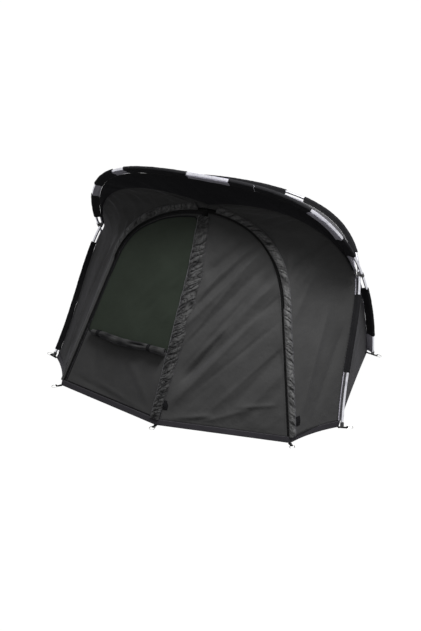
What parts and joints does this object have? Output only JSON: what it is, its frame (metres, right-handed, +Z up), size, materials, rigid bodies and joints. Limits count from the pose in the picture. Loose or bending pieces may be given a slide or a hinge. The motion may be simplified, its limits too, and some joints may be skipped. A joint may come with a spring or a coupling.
{
  "type": "bivvy tent",
  "caption": "Two-hoop fishing bivvy with crossed sleeved poles, brow, zipped front leaves, mesh window, groundsheet and peg rings.",
  "frame": {"origin": "on the underside of the groundsheet, in the middle of its width, 0.98 m behind the foot of the middle zip", "axes": "+X to the right as one faces the rear from the front, +Y to the back, +Z up"},
  "size_m": [2.2324, 2.0799, 1.49],
  "materials": {
    "shell_cloth": "coated polyester, matt",
    "sleeve_cloth": "matt",
    "window_mesh": "fine mesh",
    "webbing": "woven",
    "zip_coil": "satin",
    "pole_alloy": "satin",
    "ring_steel": "bright",
    "black_plastic": "satin",
    "floor_sheet": "matt"
  },
  "bodies": {
    "tent": {"back_panel": "shell_cloth", "brow": "sleeve_cloth", "front_pole_1": "pole_alloy", "front_pole_2": "pole_alloy", "front_pole_3": "pole_alloy", "front_pole_4": "pole_alloy", "front_pole_5": "pole_alloy", "front_sleeve_left": "sleeve_cloth", "front_sleeve_right": "sleeve_cloth", "front_sleeve_top": "sleeve_cloth", "groundsheet": "floor_sheet", "hem_band": "webbing", "left_arch_flap": "shell_cloth", "left_arch_wing_tape": "zip_coil", "left_crossing_clip": "black_plastic", "left_flap_tab": "webbing", "left_side_panel": "shell_cloth", "left_wing": "shell_cloth", "rear_pole_1": "pole_alloy", "rear_pole_2": "pole_alloy", "rear_pole_3": "pole_alloy", "rear_pole_4": "pole_alloy", "rear_pole_5": "pole_alloy", "rear_sleeve_left": "sleeve_cloth", "rear_sleeve_right": "sleeve_cloth", "rear_sleeve_top": "sleeve_cloth", "right_arch_flap": "shell_cloth", "right_arch_wing_tape": "zip_coil", "right_crossing_clip": "black_plastic", "right_flap_tab": "webbing", "right_side_panel": "shell_cloth", "right_wing": "shell_cloth", "roof_panel": "shell_cloth"},
    "right_leaf": {"right_leaf_panel": "shell_cloth", "centre_flap": "shell_cloth", "centre_flap_tab": "webbing", "right_arch_leaf_tape": "zip_coil", "centre_right_tape": "zip_coil"},
    "left_leaf": {"left_leaf_panel": "shell_cloth", "window_mesh": "window_mesh", "storm_cover_roll": "shell_cloth", "outer_strap": "webbing", "inner_strap": "webbing", "left_arch_leaf_tape": "zip_coil", "centre_left_tape": "zip_coil"},
    "back_left_ring": {"back_left_ring": "ring_steel"},
    "back_right_ring": {"back_right_ring": "ring_steel"},
    "centre_pull": {"centre_pull": "ring_steel"},
    "centre_slider": {"centre_slider": "black_plastic"},
    "front_ring": {"front_ring": "ring_steel"},
    "left_arch_pull": {"left_arch_pull": "ring_steel"},
    "left_arch_slider": {"left_arch_slider": "black_plastic"},
    "left_front_ring": {"left_front_ring": "ring_steel"},
    "left_rear_ring": {"left_rear_ring": "ring_steel"},
    "left_zip_ring": {"left_zip_ring": "ring_steel"},
    "right_arch_pull": {"right_arch_pull": "ring_steel"},
    "right_arch_slider": {"right_arch_slider": "black_plastic"},
    "right_front_ring": {"right_front_ring": "ring_steel"},
    "right_rear_ring": {"right_rear_ring": "ring_steel"},
    "right_zip_ring": {"right_zip_ring": "ring_steel"}
  },
  "joints": [
    {"name": "right_leaf_hinge", "type": "hinge", "parent": "tent", "child": "right_leaf", "pos_m": [0.8111, -0.78082, 0.03118], "axis": [-0.2666, 0.4214, 0.8668], "range_deg": [0, 75]},
    {"name": "left_leaf_hinge", "type": "hinge", "parent": "tent", "child": "left_leaf", "pos_m": [-0.77852, -0.78817, 0.03118], "axis": [-0.1972, -0.4417, -0.8752], "range_deg": [0, 75]},
    {"name": "centre_slider_slide", "type": "slide", "parent": "left_leaf", "child": "centre_slider", "axis": [0, 0.4856, 0.8742], "range_m": [0, 1.2]},
    {"name": "centre_pull_hinge", "type": "hinge", "parent": "centre_slider", "child": "centre_pull", "pos_m": [-0.00418, -0.91482, 0.08963], "axis": [0.9811, -0.169, 0.0939], "range_deg": [0, 90]},
    {"name": "right_arch_slider_slide", "type": "slide", "parent": "tent", "child": "right_arch_slider", "axis": [-0.2666, 0.4214, 0.8668], "range_m": [0, 0.7]},
    {"name": "right_arch_pull_hinge", "type": "hinge", "parent": "right_arch_slider", "child": "right_arch_pull", "pos_m": [0.79502, -0.73615, 0.09043], "axis": [0.9442, 0.2946, 0.1473], "range_deg": [0, 90]},
    {"name": "left_arch_slider_slide", "type": "slide", "parent": "tent", "child": "left_arch_slider", "axis": [0.1972, 0.4417, 0.8752], "range_m": [0, 0.79]},
    {"name": "left_arch_pull_hinge", "type": "hinge", "parent": "left_arch_slider", "child": "left_arch_pull", "pos_m": [-0.76766, -0.74204, 0.09093], "axis": [0.9611, -0.2631, -0.0838], "range_deg": [0, 90]},
    {"name": "front_ring_hinge", "type": "hinge", "parent": "tent", "child": "front_ring", "pos_m": [0, -1.014, 0.0055], "axis": [-1, 0, 0], "range_deg": [0, 75]},
    {"name": "right_zip_ring_hinge", "type": "hinge", "parent": "tent", "child": "right_zip_ring", "pos_m": [0.84006, -0.82287, 0.0055], "axis": [-0.8165, -0.5774, 0], "range_deg": [0, 75]},
    {"name": "right_front_ring_hinge", "type": "hinge", "parent": "tent", "child": "right_front_ring", "pos_m": [1.07911, -0.45227, 0.0055], "axis": [0.335, -0.9422, 0], "range_deg": [0, 75]},
    {"name": "right_rear_ring_hinge", "type": "hinge", "parent": "tent", "child": "right_rear_ring", "pos_m": [0.96406, 0.63205, 0.0055], "axis": [-0.227, -0.9739, 0], "range_deg": [0, 75]},
    {"name": "back_right_ring_hinge", "type": "hinge", "parent": "tent", "child": "back_right_ring", "pos_m": [0.56243, 0.99165, 0.0055], "axis": [0.9308, -0.3655, 0], "range_deg": [0, 75]},
    {"name": "back_left_ring_hinge", "type": "hinge", "parent": "tent", "child": "back_left_ring", "pos_m": [-0.56243, 0.99165, 0.0055], "axis": [0.9308, 0.3655, 0], "range_deg": [0, 75]},
    {"name": "left_rear_ring_hinge", "type": "hinge", "parent": "tent", "child": "left_rear_ring", "pos_m": [-0.96406, 0.63205, 0.0055], "axis": [-0.227, 0.9739, 0], "range_deg": [0, 75]},
    {"name": "left_front_ring_hinge", "type": "hinge", "parent": "tent", "child": "left_front_ring", "pos_m": [-1.07911, -0.45227, 0.0055], "axis": [0.335, 0.9422, 0], "range_deg": [0, 75]},
    {"name": "left_zip_ring_hinge", "type": "hinge", "parent": "tent", "child": "left_zip_ring", "pos_m": [-0.80406, -0.83138, 0.0055], "axis": [-0.8341, 0.5516, 0], "range_deg": [0, 75]}
  ]
}
